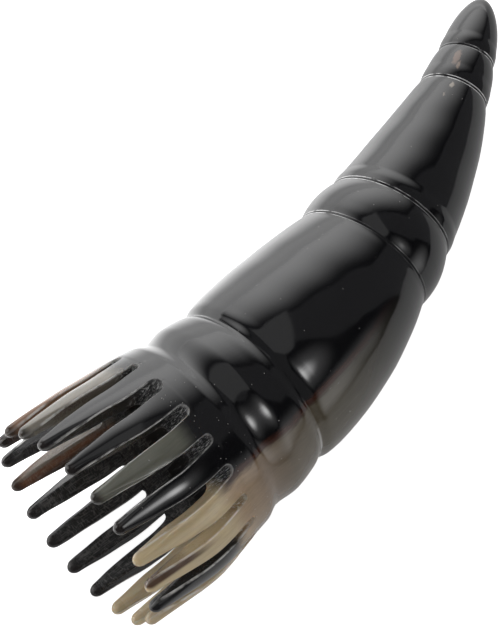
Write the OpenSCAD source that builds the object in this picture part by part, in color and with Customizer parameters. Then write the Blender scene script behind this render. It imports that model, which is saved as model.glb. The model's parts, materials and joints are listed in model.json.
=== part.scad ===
// Beard comb carved from one buffalo horn: a curved, tapering handle with turned
// grooves, a hollow crown and a ring of long fingers sawn into its rim.
// Each node is one region of the horn, bounded by its own carved grooves or saw cuts.

/* [Handle] */
// Arc length from the outer slot ends to the very tip of the handle (mm)
handle_len = 158; // [130:1:180]
// Bend of the handle, degrees of turn per mm of arc
bend = 0.232; // [0.12:0.004:0.28]
// Radius of the horn at the waist groove nearest the grip (mm)
waist_r = 17.9; // [15:0.1:20]
// Fullness of the grip barrel between its grooves (mm)
grip_swell = 2.8; // [1:0.1:4]
// Radius at the foot of the tip cap (mm)
tip_r = 7.3; // [5.5:0.1:8.5]

/* [Crown] */
// Radius of the horn in the soft groove above the crown band (mm)
neck_r = 24.6; // [22:0.1:26]
// How far the mouth flares out past that groove (mm)
flare = 3.6; // [2:0.1:5]
// Depth of the natural hollow above the slot ends (mm)
hollow_depth = 20; // [14:1:22]
// Thickness of the horn wall at the slot ends (mm)
wall = 5.0; // [4:0.1:6]

/* [Teeth] */
// Length of a tooth below the slot ends on the outside (mm)
tooth_len = 32.5; // [26:0.5:38]
// Width of a tooth at its root (mm)
tooth_root_w = 6.0; // [5:0.1:6.6]
// Width of a tooth just behind its rounded tip (mm)
tooth_tip_w = 3.3; // [2.8:0.1:4.2]
// Thickness of a tooth just behind its rounded tip (mm)
tooth_tip_t = 3.0; // [2.6:0.1:3.6]
// Sideways lean of the teeth along their length (degrees)
tooth_lean = 0.8; // [0:0.2:4]

/* [Hidden] */

// Stations along the arc. Zero lies 5 mm below the outer slot ends.
slot_out = 5;                          // outer end of the slots
slot_slant = 6.5;                      // the saw runs out this much lower inside
tooth_end = slot_out - tooth_len;      // the tips of the teeth
tooth_top = slot_out + 1;              // where the band ends and the teeth begin
s_neck = 14;                           // soft groove between band and crown ring
s_grip = 29;                           // groove below the grip barrel
s_waist = 73.2;                        // groove between grip barrel and waist ring
s_upper = 86.8;                        // groove above the waist ring
s_bead = 127.4;                        // groove below the bead
s_cap = 138.8;                         // groove below the tip cap
s_tip = handle_len;                    // the apex
bend_from = 2;                         // the crown below this station is straight

// Radii where the lengths on either side of each groove would meet
grip_r = 22.8;
upper_r = 16.2;
bead_r = 8.6;
cap_r = 7.0;

// Each groove: station, how much of its bottom is left filled, how softly it meets the sides
grooves = [
    [s_cap, 0.30, 0.22],
    [s_bead, 0.34, 0.25],
    [s_upper, 0.42, 0.34],
    [s_waist, 0.42, 0.34],
    [s_grip, 0.50, 0.50]];
groove_hold = 2;                       // the filling is whole this far from the groove
groove_fade = 3;                       // and fades out over this length

// Swell of each length between its grooves
cap_point = 1.8;                       // how late the tip cap draws in
cap_blunt = 0.55;                      // how bluntly it ends
cap_foot = 0.1;                        // share of the cap that draws in at its foot
bead_swell = 0.85;
upper_swell = 1.35;
waist_swell = 1.55;
crown_swell = 1.25;
crown_peak = 0.45;                     // where the crown ring is fullest, from its foot

// The band below the soft groove: a lip, a long flare, and a slight turn inwards at the end
lip_len = 4;
flare_len = 27;
turn_in_from = 31;
turn_in = 0.0015;

// Sides of the swept rings
sides_big = 64;
sides_small = 40;

// Placing: the comb lies on its side, with the length along X
yaw = -13.4;
pitch = 8.1;
roll = -14.5;
shift = [-59.80, -1.34, 28.05];

// ---- the curved axis ----
bend_radius = 180 / (PI * bend);
function heading(s) = bend * max(0, s - bend_from);
function axis_point(s) = s <= bend_from
    ? [s, 0, 0]
    : [bend_from + bend_radius * sin(heading(s)), bend_radius * (1 - cos(heading(s))), 0];
function side_dir(s) = [-sin(heading(s)), cos(heading(s)), 0];

// The band sits a little outside the bend, and the tips of the teeth back on it.
mouth_shift = 0.9;
tips_return = 1.0;
tips_len = 28;
function ease(t) = let (u = min(1, max(0, t))) u * u * (3 - 2 * u);
function centre(s) = axis_point(s)
    - side_dir(s) * (mouth_shift * ease((8 - s) / 16) - tips_return * ease(-s / tips_len));
function on_ring(s, r, a) = centre(s) + r * (cos(a) * side_dir(s) + [0, 0, sin(a)]);

// ---- the outline: radius at each station ----
function along(s, a, b) = (s - a) / (b - a);
function swell(t, fullness, skew) =
    let (u = pow(min(1, max(0, t)), skew)) pow(4 * u * (1 - u), fullness);
function segment_r(s, s0, s1, r0, r1, rise, fullness, skew) =
    let (t = along(s, s0, s1)) r0 + (r1 - r0) * t + rise * swell(t, fullness, skew);

function cap_radius(s) =
    let (t = along(s, s_cap, s_tip))
    tip_r * pow(max(0, 1 - pow(t, cap_point)), cap_blunt)
    - (tip_r - cap_r) * pow(max(0, 1 - t / cap_foot), 2);
function crown_radius(s) =
    let (t = along(s, s_neck, s_grip))
    neck_r + (grip_r - neck_r) * t
    + crown_swell * (t < crown_peak ? ease(t / crown_peak) : swell(t, 0.7, 0.87));
function band_radius(s) =
    let (x = s_neck - s)
    neck_r + ease(x / lip_len) + flare * pow(sin(90 * min(1, x / flare_len)), 1.2)
    - turn_in * pow(max(0, x - turn_in_from), 2);

function sharp_radius(s) =
    s >= s_cap ? cap_radius(s) :
    s >= s_bead ? segment_r(s, s_bead, s_cap, bead_r, cap_r, bead_swell, 0.55, 1) :
    s >= s_upper ? segment_r(s, s_upper, s_bead, upper_r, bead_r, upper_swell, 0.45, 1) :
    s >= s_waist ? segment_r(s, s_waist, s_upper, waist_r, upper_r, waist_swell, 0.8, 1) :
    s >= s_grip ? segment_r(s, s_grip, s_waist, grip_r, waist_r, grip_swell, 0.7, 0.8) :
    s >= s_neck ? crown_radius(s) :
    band_radius(s);

// Polishing leaves the bottoms of the grooves round.
function filling(s, groove) =
    let (above = sharp_radius(s) - sharp_radius(groove[0]) - groove[1],
         rise = (sqrt(above * above + groove[2] * groove[2]) - above) / 2)
    rise * (1 - ease((abs(s - groove[0]) - groove_hold) / groove_fade));
function total(list, i = 0) = i >= len(list) ? 0 : list[i] + total(list, i + 1);
function horn_radius(s) = sharp_radius(s) + total([for (groove = grooves) filling(s, groove)]);

// ---- the natural hollow ----
hollow_end = slot_out + hollow_depth;
hollow_r = band_radius(slot_out) - wall;
function hollow_radius(s) =
    let (t = along(s, slot_out, hollow_end)) hollow_r * sqrt(max(0, 1 - pow(max(0, t), 2.2)));

// ---- swept solids ----
// Stations between two grooves, closer together near the ends
function spread(a, b, n) = [for (i = [0:n]) a + (b - a) * (1 - cos(180 * i / n)) / 2];
function ring_points(s, r, sides) = [for (k = [0:sides - 1]) on_ring(s, r, 360 * k / sides)];
function wall_faces(first, rings, sides, flip) =
    [for (i = [0:rings - 2], k = [0:sides - 1])
        let (a = first + i * sides + k, b = first + i * sides + (k + 1) % sides,
             c = b + sides, d = a + sides)
        each (flip ? [[a, d, c], [a, c, b]] : [[a, b, c], [a, c, d]])];
function cap_face(first, sides, flip) =
    flip ? [for (k = [0:sides - 1]) first + k] : [for (k = [sides - 1:-1:0]) first + k];

// A solid length of horn between two stations
module solid_length(a, b, n, sides) {
    stations = spread(a, b, n);
    points = [for (s = stations) each ring_points(s, horn_radius(s), sides)];
    rings = len(stations);
    polyhedron(points, concat(
        [cap_face(0, sides, true)],
        wall_faces(0, rings, sides, true),
        [cap_face((rings - 1) * sides, sides, false)]));
}

// A solid length that ends in an apex
module pointed_length(a, b, n, sides) {
    stations = [for (i = [0:n]) a + (b - a) * sin(90 * i / (n + 0.4))];
    rings = len(stations);
    apex = rings * sides;
    points = concat([for (s = stations) each ring_points(s, horn_radius(s), sides)],
                    [centre(b)]);
    polyhedron(points, concat(
        [cap_face(0, sides, true)],
        wall_faces(0, rings, sides, true),
        [for (k = [0:sides - 1])
            [apex - sides + k, apex, apex - sides + (k + 1) % sides]]));
}

// A length with the hollow running right through it
module hollow_length(a, b, n, sides) {
    stations = spread(a, b, n);
    rings = len(stations);
    inner = rings * sides;
    points = concat(
        [for (s = stations) each ring_points(s, horn_radius(s), sides)],
        [for (s = stations) each ring_points(s, hollow_radius(s), sides)]);
    polyhedron(points, concat(
        wall_faces(0, rings, sides, true),
        wall_faces(inner, rings, sides, false),
        ring_faces(0, inner, sides, false),
        ring_faces(inner - sides, 2 * inner - sides, sides, true)));
}
function ring_faces(outer, inner, sides, flip) =
    [for (k = [0:sides - 1])
        let (a = outer + k, b = outer + (k + 1) % sides,
             c = inner + (k + 1) % sides, d = inner + k)
        each (flip ? [[a, c, b], [a, d, c]] : [[a, b, c], [a, c, d]])];

// A length whose hollow starts at the lower end and closes inside it
module blind_length(a, b, n, sides) {
    stations = spread(a, b, n);
    rings = len(stations);
    depths = [for (i = [0:6]) a + (hollow_end - a) * sin(90 * i / 6.5)];
    inner = rings * sides;
    inner_rings = len(depths);
    apex = inner + inner_rings * sides;
    points = concat(
        [for (s = stations) each ring_points(s, horn_radius(s), sides)],
        [for (s = depths) each ring_points(s, hollow_radius(s), sides)],
        [centre(hollow_end)]);
    polyhedron(points, concat(
        wall_faces(0, rings, sides, true),
        [cap_face((rings - 1) * sides, sides, false)],
        ring_faces(0, inner, sides, false),
        wall_faces(inner, inner_rings, sides, false),
        [for (k = [0:sides - 1])
            [apex - sides + k, apex - sides + (k + 1) % sides, apex]]));
}

// ---- the teeth ----
teeth = 19;
first_turn = 7.3;
// The saw was guided by eye, so the teeth are a few degrees off even spacing.
uneven = [-3, 0, 0, -1, 1, 1, 0, 0, -1, -2, -1, 2, 3, 2, 1, -1, -2, -3, -4];
function tooth_turn(i) = first_turn + 360 * i / teeth + uneven[(i + teeth) % teeth];
function edge_turn(i) = (tooth_turn(i) + tooth_turn(i + 1)) / 2;

tip_round = 1.9;                       // length of the rounded tip
inside_taper = 0.9;                    // how early the wall starts to thin
narrow_root = 0.20;                    // how much narrower a finger is inside, at its root
narrow_tip = 0.08;                     // and at its tip
crowning = 0.5;                        // the outer face is rounded down this much at its sides
crowning_part = 0.4;                   // and is fully so from this part of the finger on
// The ends of the teeth were trued by eye: they stand a little longer on one side.
end_slant = 0.7;
longest_turn = 310;
function tooth_part(s) = along(s, slot_out, tooth_end);
function trued(s, turn) =
    s - end_slant * cos(turn - longest_turn) * pow(max(0, tooth_part(s)), 2);
function finger_half(s, depth) =
    let (t = max(0, tooth_part(s)),
         outer = tooth_root_w / 2 + (tooth_tip_w - tooth_root_w) / 2 * pow(t, 2))
    outer * (1 - (narrow_root + (narrow_tip - narrow_root) * t) * (1 - depth));
function tip_factor(s) =
    let (x = (s - tooth_end) / tip_round) x >= 1 ? 1 : sqrt(max(0, 1 - pow(1 - x, 2)));
function wall_at(s) = s >= slot_out
    ? horn_radius(s) - hollow_radius(s)
    : wall + (tooth_tip_t - wall) * pow(tooth_part(s), inside_taper);

// Half width of a stave beside one slot: full at the slot end, then round the
// end of the slot and on down the side of the finger.
function stave_half(s, r, edge_angle, depth) =
    let (full = r * edge_angle * PI / 180,
         gap = max(0.2, full - finger_half(s, depth)),
         x = slot_out - slot_slant * (1 - depth) - s,
         open = x <= 0 ? 0 : x >= gap ? 1 : sqrt(1 - pow(1 - x / gap, 2)))
    full - gap * open;

// One point of a tooth's section. side runs from -1 to 1 across the tooth, depth
// from 0 on the inner face to 1 on the outer face, both before rounding.
function tooth_point(s, turn, before, after, side, depth) =
    let (r_out = horn_radius(s),
         t = wall_at(s),
         rounded = crowning * ease(tooth_part(s) / crowning_part) * pow(side * depth, 2),
         r = r_out - t / 2 + ((depth - 0.5) * t - rounded) * tip_factor(s),
         half = stave_half(s, r, side < 0 ? before : after, depth) * tip_factor(s),
         lean = tooth_lean * (tooth_part(s) - 0.5) * ease(tooth_part(s) * 4))
    on_ring(trued(s, turn), r, turn - lean + side * half * 180 / (PI * r));

// The rounded rectangle that a section follows
function corner(s) = let (t = tooth_part(s)) 0.06 + 0.3 * ease(t * 3) + 0.6 * ease((t - 0.5) * 2);
function section(s) =
    let (c = corner(s), cw = min(0.98, c / finger_half(s, 1)), ct = min(0.49, c / wall_at(s)))
    [[-1, ct], [-1 + cw * 0.3, ct * 0.3], [-1 + cw, 0],
     [0, 0],
     [1 - cw, 0], [1 - cw * 0.3, ct * 0.3], [1, ct],
     [1, 1 - ct], [1 - cw * 0.3, 1 - ct * 0.3], [1 - cw, 1],
     [0, 1],
     [-1 + cw, 1], [-1 + cw * 0.3, 1 - ct * 0.3], [-1, 1 - ct]];
section_count = 14;

tooth_stations = concat([tooth_top],
    [for (x = [0, 0.4, 1.1, 2.4, 4, 5.6, 6.6, 7.1, 7.8, 9.5, 14, 20, 26, 30]) slot_out - x]);
tip_stations = [for (a = [0, 30, 55, 75]) tooth_end + tip_round * (1 - sin(a))];

module tooth(i) {
    turn = tooth_turn(i);
    before = turn - edge_turn(i - 1);
    after = edge_turn(i) - turn;
    stations = concat(tooth_stations, tip_stations);
    rings = len(stations);
    points = concat(
        [for (s = stations, q = section(s)) tooth_point(s, turn, before, after, q[0], q[1])],
        [tooth_point(tooth_end, turn, before, after, 0, 0.5)]);
    apex = rings * section_count;
    polyhedron(points, concat(
        [cap_face(0, section_count, true)],
        wall_faces(0, rings, section_count, true),
        [for (k = [0:section_count - 1])
            [apex - section_count + k, apex, apex - section_count + (k + 1) % section_count]]));
}

// ---- placing ----
module lie() {
    translate(shift) rotate([roll, 0, 0]) rotate([0, pitch, 0]) rotate([0, 0, yaw]) children();
}

// ---- colours ----
black = [0.08, 0.08, 0.09];
tan_horn = [0.66, 0.58, 0.42];
grey_horn = [0.45, 0.44, 0.40];
amber = [0.45, 0.26, 0.14];

// ---- nodes ----
module tip_cap() { color(black) lie() pointed_length(s_cap, s_tip, 12, sides_small); }
module tip_bead() { color([0.12, 0.11, 0.11]) lie() solid_length(s_bead, s_cap, 8, sides_small); }
module upper_handle() { color(black) lie() solid_length(s_upper, s_bead, 14, 48); }
module waist_ring() { color([0.12, 0.12, 0.12]) lie() solid_length(s_waist, s_upper, 9, 48); }
module grip_barrel() { color(black) lie() solid_length(s_grip, s_waist, 14, sides_big); }
module crown_ring() { color([0.12, 0.12, 0.11]) lie() blind_length(s_neck, s_grip, 8, sides_big); }
module crown_band() { color(black) lie() hollow_length(tooth_top, s_neck, 6, sides_big); }
module horn_tooth(number, tint) { color(tint) lie() tooth(number - 1); }

tip_cap();
tip_bead();
upper_handle();
waist_ring();
grip_barrel();
crown_ring();
crown_band();
horn_tooth(1, amber);  // tooth_01
horn_tooth(2, amber);  // tooth_02
horn_tooth(3, grey_horn);  // tooth_03
horn_tooth(4, black);  // tooth_04
horn_tooth(5, black);  // tooth_05
horn_tooth(6, grey_horn);  // tooth_06
horn_tooth(7, black);  // tooth_07
horn_tooth(8, tan_horn);  // tooth_08
horn_tooth(9, tan_horn);  // tooth_09
horn_tooth(10, black);  // tooth_10
horn_tooth(11, tan_horn);  // tooth_11
horn_tooth(12, tan_horn);  // tooth_12
horn_tooth(13, tan_horn);  // tooth_13
horn_tooth(14, black);  // tooth_14
horn_tooth(15, black);  // tooth_15
horn_tooth(16, black);  // tooth_16
horn_tooth(17, black);  // tooth_17
horn_tooth(18, amber);  // tooth_18
horn_tooth(19, black);  // tooth_19
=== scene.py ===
"""A beard comb carved from one piece of horn, lying on a white table.

The horn is modelled on its own axis in millimetres, as in the CAD: a station s runs along
the arc, an angle turn runs round it, and lay() puts a point where the comb lies, in metres.
"""

import json
import math

import bpy
import numpy as np
from mathutils import Matrix, Vector


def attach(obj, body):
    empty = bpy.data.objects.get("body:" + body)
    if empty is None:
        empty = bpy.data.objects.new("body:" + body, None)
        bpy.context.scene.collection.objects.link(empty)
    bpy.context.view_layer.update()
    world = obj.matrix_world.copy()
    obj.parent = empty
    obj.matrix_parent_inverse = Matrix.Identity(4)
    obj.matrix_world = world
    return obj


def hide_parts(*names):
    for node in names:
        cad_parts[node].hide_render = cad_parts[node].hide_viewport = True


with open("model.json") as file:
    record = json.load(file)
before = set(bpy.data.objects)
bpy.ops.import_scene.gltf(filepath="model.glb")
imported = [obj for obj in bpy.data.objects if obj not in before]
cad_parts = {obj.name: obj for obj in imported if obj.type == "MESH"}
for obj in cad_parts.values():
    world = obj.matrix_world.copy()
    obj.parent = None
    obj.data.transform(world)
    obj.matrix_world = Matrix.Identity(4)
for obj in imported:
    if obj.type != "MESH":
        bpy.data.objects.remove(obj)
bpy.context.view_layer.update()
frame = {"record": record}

# ---------------------------------------------------------------- the horn's shape (mm)
BEND = math.radians(0.232)  # turn of the axis per mm of arc
BEND_FROM = 2.0
MOUTH_SHIFT, MOUTH_FROM, MOUTH_RUN = 0.9, 8.0, 16.0  # the band sits a little outside the bend
TIPS_RETURN, TIPS_LEN = 1.0, 28.0  # and the tips of the teeth back on it
# stations of the tip and the grooves, radii there, and how far each length swells between
S_TIP, S_CAP, S_BEAD, S_UPPER, S_WAIST, S_GRIP, S_NECK = 158.0, 138.8, 127.4, 86.8, 73.2, 29.0, 14.0
TIP_R, CAP_R, BEAD_R, UPPER_R, WAIST_R, GRIP_R, NECK_R = 7.3, 7.0, 8.6, 16.2, 17.9, 22.8, 24.6
BEAD_SWELL, UPPER_SWELL, WAIST_SWELL, GRIP_SWELL, CROWN_SWELL = 0.85, 1.35, 1.55, 2.8, 1.25
CAP_EDGE = 0.1  # share of the tip cap's length in which it steps down to its groove
CROWN_TOP = 0.45  # share of the crown ring's length below its widest place
FLARE, FLARE_LEN, BAND_SHOULDER = 3.6, 27.0, 4.0  # the band widens from the neck to the teeth
TURN_IN, TURN_IN_FROM = 0.0015, 31.0  # and its teeth bend in again, in mm per mm squared

SLOT_OUT, SLOT_SLANT = 5.0, 6.5  # outer ends of the slots, and how much lower they end inside
TOOTH_LEN, TOOTH_RISE = 32.5, 1.0  # a tooth's length below the slot ends, and its stave above them
TOOTH_END, TOOTH_TOP = SLOT_OUT - TOOTH_LEN, SLOT_OUT + TOOTH_RISE
WALL, TIP_WALL, ROOT_HALF, TIP_HALF, TIP_ROUND = 5.0, 3.0, 3.0, 1.65, 1.9
NARROW_ROOT, NARROW_TIP = 0.20, 0.08  # how much narrower a tooth is on its inner face
CROWNING, CROWNING_PART = 0.25, 0.4  # how far a tooth's outer face is rounded down at its sides
HOLLOW_END = SLOT_OUT + 20.0
LEAN = 0.8  # each tooth leans round the mouth by this many degrees
END_SLANT, LONGEST_TURN = 0.7, 310.0  # the teeth stand a little longer on one side

TEETH, FIRST_TURN = 19, 7.3
# how many degrees each tooth stands out of its even place
UNEVEN = [-3, 0, 0, -1, 1, 1, 0, 0, -1, -2, -1, 2, 3, 2, 1, -1, -2, -3, -4]

# how the comb lies on the table, in degrees and mm
YAW, PITCH, ROLL = -13.4, 8.1, -14.5
SHIFT = (-59.80, -1.34, 28.05)


def ease(t):
    t = np.clip(t, 0.0, 1.0)
    return t * t * (3.0 - 2.0 * t)


def heading(s):
    return BEND * np.maximum(0.0, s - BEND_FROM)


def centre(s):
    """The middle of the horn at station s, as x and y."""
    h = heading(s)
    x = np.where(s <= BEND_FROM, s, BEND_FROM + np.sin(h) / BEND)
    y = (1.0 - np.cos(h)) / BEND
    off = MOUTH_SHIFT * ease((MOUTH_FROM - s) / MOUTH_RUN) - TIPS_RETURN * ease(-s / TIPS_LEN)
    return x + off * np.sin(h), y - off * np.cos(h)


def swell(t, fullness, skew):
    """0 at both ends and 1 between; a low fullness makes the ends blunt."""
    u = np.clip(t, 0.0, 1.0) ** skew
    return np.maximum(4.0 * u * (1.0 - u), 0.0) ** fullness


def between(s, s0, s1, r0, r1, rise, fullness, skew=1.0):
    t = (s - s0) / (s1 - s0)
    return r0 + (r1 - r0) * t + rise * swell(t, fullness, skew)


def cap_radius(s):
    t = np.clip((s - S_CAP) / (S_TIP - S_CAP), 0.0, 1.0)
    step = (TIP_R - CAP_R) * np.maximum(0.0, 1.0 - t / CAP_EDGE) ** 2
    return TIP_R * (1.0 - t**1.8) ** 0.55 - step


def crown_radius(s):
    t = (s - S_NECK) / (S_GRIP - S_NECK)
    bulge = np.where(t < CROWN_TOP, ease(t / CROWN_TOP), swell(t, 0.7, 0.87))
    return NECK_R + (GRIP_R - NECK_R) * t + CROWN_SWELL * bulge


def band_radius(s):
    x = S_NECK - s
    spread = np.sin(np.radians(90.0 * np.clip(x / FLARE_LEN, 0.0, 1.0))) ** 1.2
    turned_in = TURN_IN * np.maximum(0.0, x - TURN_IN_FROM) ** 2
    return NECK_R + ease(x / BAND_SHOULDER) + FLARE * spread - turned_in


def plain_radius(s):
    return np.select(
        [s >= S_CAP, s >= S_BEAD, s >= S_UPPER, s >= S_WAIST, s >= S_GRIP, s >= S_NECK],
        [
            cap_radius(s),
            between(s, S_BEAD, S_CAP, BEAD_R, CAP_R, BEAD_SWELL, 0.55),
            between(s, S_UPPER, S_BEAD, UPPER_R, BEAD_R, UPPER_SWELL, 0.45),
            between(s, S_WAIST, S_UPPER, WAIST_R, UPPER_R, WAIST_SWELL, 0.8),
            between(s, S_GRIP, S_WAIST, GRIP_R, WAIST_R, GRIP_SWELL, 0.7, 0.8),
            crown_radius(s),
        ],
        band_radius(s),
    )


# station, how far the bottom is filled, and how softly it runs into the sides
GROOVES = [
    (S_CAP, 0.30, 0.22),
    (S_BEAD, 0.34, 0.25),
    (S_UPPER, 0.42, 0.34),
    (S_WAIST, 0.42, 0.34),
    (S_GRIP, 0.5, 0.5),
]
FILL_REACH, FILL_RUN = 2.0, 3.0  # the filling stays whole this near to a groove, then fades out
INCISED, INCISED_WIDE = 0.16, 0.16  # depth and half width of the line cut in each groove
VALLEY, VALLEY_WIDE = 0.5, 1.6  # the lowest groove has no cut line: it is a rounded valley


def horn_radius(s):
    """The horn's outline: each groove is rounded by polishing, with a fine line cut in it."""
    s = np.asarray(s, float)
    r = plain_radius(s)
    filled = r
    for at, fill, soft in GROOVES:
        above = r - (plain_radius(np.array(float(at))) + fill)
        rise = 0.5 * (np.sqrt(above**2 + soft**2) - above)
        filled = filled + rise * (1.0 - ease((np.abs(s - at) - FILL_REACH) / FILL_RUN))
        deep, wide = (VALLEY, VALLEY_WIDE) if at == S_GRIP else (INCISED, INCISED_WIDE)
        filled = filled - deep * np.exp(-(((s - at) / wide) ** 2))
    return filled


def hollow_radius(s):
    t = np.clip((s - SLOT_OUT) / (HOLLOW_END - SLOT_OUT), 0.0, 1.0)
    return (band_radius(SLOT_OUT) - WALL) * np.sqrt(1.0 - t**2.2)


def hand_carved(s, turn):
    """Slow unevenness left by hand polishing, in mm of radius."""
    a = np.radians(turn)
    fade = np.clip(horn_radius(s) / 12.0, 0.0, 1.0)
    return fade * (
        0.05 * np.sin(2 * a + 0.05 * s)
        + 0.04 * np.sin(3 * a - 0.08 * s + 1.0)
        + 0.025 * np.sin(0.31 * s + a)
        + 0.02 * np.sin(0.55 * s - 2 * a + 2.0)
    )


def placed(s, r, turn):
    """Points of the horn before it is laid down: station, radius and turn in degrees."""
    x, y = centre(s)
    h, a = heading(s), np.radians(turn)
    side = r * np.cos(a)
    return np.stack([x - side * np.sin(h), y + side * np.cos(h), r * np.sin(a) + 0 * x], -1)


def straightened(s, r, turn):
    """The same point on a straight horn, which the grain of the material follows."""
    a = np.radians(turn)
    return np.stack([s + 0 * r, r * np.cos(a), r * np.sin(a)], -1)


LAY = np.array(
    Matrix.Rotation(math.radians(ROLL), 3, "X")
    @ Matrix.Rotation(math.radians(PITCH), 3, "Y")
    @ Matrix.Rotation(math.radians(YAW), 3, "Z")
)


def lay(points):
    """Millimetres on the horn's own axes to metres where the comb lies."""
    return (points @ LAY.T + np.array(SHIFT)) / 1000.0


# ---------------------------------------------------------------- mesh helpers
def grid(first, rows, cols, wrap=False):
    """Quads over rows of cols points each, numbered from first."""
    across = cols if wrap else cols - 1
    r, c = np.meshgrid(np.arange(rows - 1), np.arange(across), indexing="ij")
    a = first + r * cols + c
    b = first + r * cols + (c + 1) % cols
    return np.stack([a, b, b + cols, a + cols], -1).reshape(-1, 4)


def fan(ring, tip):
    """Triangles from a closed ring of points to one point."""
    return [[ring[k], ring[(k + 1) % len(ring)], tip] for k in range(len(ring))]


def surface_normals(s, turn, radius):
    """Outward normals of the surface of the given radius function, in the lying frame."""
    d = 0.01
    ds = placed(s + d, radius(s + d, turn), turn) - placed(s - d, radius(s - d, turn), turn)
    dt = placed(s, radius(s, turn + d), turn + d) - placed(s, radius(s, turn - d), turn - d)
    n = np.cross(dt, ds)
    n /= np.linalg.norm(n, axis=-1, keepdims=True) + 1e-12
    return n @ LAY.T


def outer_radius(s, turn):
    return horn_radius(s) + hand_carved(s, turn)


def piece(name, points, straight, finish, faces, normals, rim=None):
    """A smooth mesh object with the attributes that the horn material reads."""
    mesh = bpy.data.meshes.new(name)
    mesh.from_pydata(lay(points).tolist(), [], [list(map(int, f)) for f in faces])
    mesh.validate()
    mesh.update()
    mesh.shade_smooth()
    where = mesh.attributes.new("horn", "FLOAT_VECTOR", "POINT")
    where.data.foreach_set("vector", straight.astype(np.float32).ravel())
    how = mesh.attributes.new("finish", "FLOAT_VECTOR", "POINT")
    how.data.foreach_set("vector", finish.astype(np.float32).ravel())
    if rim is not None:
        mesh.attributes.new("rim", "FLOAT", "POINT").data.foreach_set("value", rim.astype(np.float32))
    mesh.normals_split_custom_set_from_vertices(normals.tolist())
    made = bpy.data.objects.new(name, mesh)
    bpy.context.scene.collection.objects.link(made)
    return made


# ---------------------------------------------------------------- the lengths of the handle
SIDES = 224
FINE = np.arange(0.0, 0.95, 0.075)  # close rows for the line cut in a groove


def stations(a, b, n):
    """Stations from a to b, closer together near both ends."""
    u = np.linspace(0.0, 1.0, n + 1)
    u = 0.5 + 0.5 * np.sign(u - 0.5) * (1.0 - (1.0 - np.abs(2.0 * u - 1.0)) ** 1.7)
    even = a + (b - a) * u
    even = even[(even > a + FINE[-1] + 0.04) & (even < b - FINE[-1] - 0.04)]
    return np.concatenate([a + FINE, even, (b - FINE)[::-1]])


def ring_block(at, radius, polish, inward=False):
    """Rings of points at the stations, with their attributes and normals."""
    turns = np.arange(SIDES) * 360.0 / SIDES
    s, turn = np.meshgrid(at, turns, indexing="ij")
    r = radius(s, turn)
    inside = np.clip(s, at[0] + 0.02, at[-1] - 0.02)
    normals = surface_normals(inside, turn, radius) * (-1.0 if inward else 1.0)
    finish = np.zeros(s.shape + (3,))
    finish[..., 0] = polish
    block = (placed(s, r, turn), straightened(s, r, turn), finish, normals)
    return [part.reshape(-1, 3) for part in block]


def join(blocks):
    return [np.concatenate(part) for part in zip(*blocks)]


def one_point(s, axis_normal):
    """A point on the axis that closes an end."""
    at = np.array([float(s)])
    zero = np.zeros(1)
    return (
        placed(at, zero, zero),
        straightened(at, zero, zero),
        np.ones((1, 3)) * (1.0, 0.0, 0.0),
        (np.array([axis_normal]) * np.ones((1, 3))) @ LAY.T,
    )


def along_axis(s, sign):
    h = float(heading(np.array(float(s))))
    return (sign * math.cos(h), sign * math.sin(h), 0.0)


def outside_blocks(at, a, b):
    """The rings of the outer face, and the points on the axis that close its two ends."""
    return [
        ring_block(at, outer_radius, 1.0),
        one_point(a, along_axis(a, -1)),
        one_point(b, along_axis(b, 1)),
    ]


def solid_length(name, a, b, n):
    """A solid length of horn with a flat face at each end."""
    at = stations(a, b, n)
    last = len(at) * SIDES
    low = list(range(SIDES))
    high = list(range(last - SIDES, last))
    faces = grid(0, len(at), SIDES, True).tolist() + fan(high, last + 1)
    faces += [f[::-1] for f in fan(low, last)]
    points, straight, finish, normals = join(outside_blocks(at, a, b))
    return piece(name, points, straight, finish, faces, normals)


def pointed_length(name, a, b, n):
    """The tip cap, closed by its apex."""
    at = a + (b - a) * np.sin(np.radians(90.0 * np.arange(n) / n))
    at = np.concatenate([a + FINE, at[at > a + FINE[-1] + 0.04]])
    last = len(at) * SIDES
    faces = grid(0, len(at), SIDES, True).tolist() + fan(list(range(last - SIDES, last)), last + 1)
    faces += [f[::-1] for f in fan(list(range(SIDES)), last)]
    points, straight, finish, normals = join(outside_blocks(at, a, b))
    return piece(name, points, straight, finish, faces, normals)


def inner_wall(s, turn):
    return hollow_radius(s) + 0.0 * turn


def hollow_length(name, a, b, n):
    """A length with the hollow running right through it."""
    at = stations(a, b, n)
    blocks = [ring_block(at, outer_radius, 1.0), ring_block(at, inner_wall, 0.0, True)]
    count = len(at) * SIDES
    faces = grid(0, len(at), SIDES, True).tolist() + grid(count, len(at), SIDES, True)[:, ::-1].tolist()
    for row, turned in ((0, True), (count - SIDES, False)):
        for k in range(SIDES):
            nxt = (k + 1) % SIDES
            quad = [row + k, row + nxt, count + row + nxt, count + row + k]
            faces.append(quad[::-1] if turned else quad)
    points, straight, finish, normals = join(blocks)
    return piece(name, points, straight, finish, faces, normals)


def blind_length(name, a, b, n):
    """A length whose hollow starts at the lower end and closes inside it."""
    at = stations(a, b, n)
    deep = a + (HOLLOW_END - a) * np.sin(np.radians(90.0 * np.arange(n) / n))
    blocks = [
        ring_block(at, outer_radius, 1.0),
        ring_block(deep, inner_wall, 0.0, True),
        one_point(HOLLOW_END, along_axis(HOLLOW_END, -1)),
        one_point(b, along_axis(b, 1)),
    ]
    count = len(at) * SIDES
    end = count + len(deep) * SIDES
    faces = grid(0, len(at), SIDES, True).tolist() + grid(count, len(deep), SIDES, True)[:, ::-1].tolist()
    for k in range(SIDES):
        nxt = (k + 1) % SIDES
        faces.append([count + k, count + nxt, nxt, k])
    faces += fan(list(range(count - SIDES, count)), end + 1)
    faces += [f[::-1] for f in fan(list(range(end - SIDES, end)), end)]
    points, straight, finish, normals = join(blocks)
    return piece(name, points, straight, finish, faces, normals)


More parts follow.
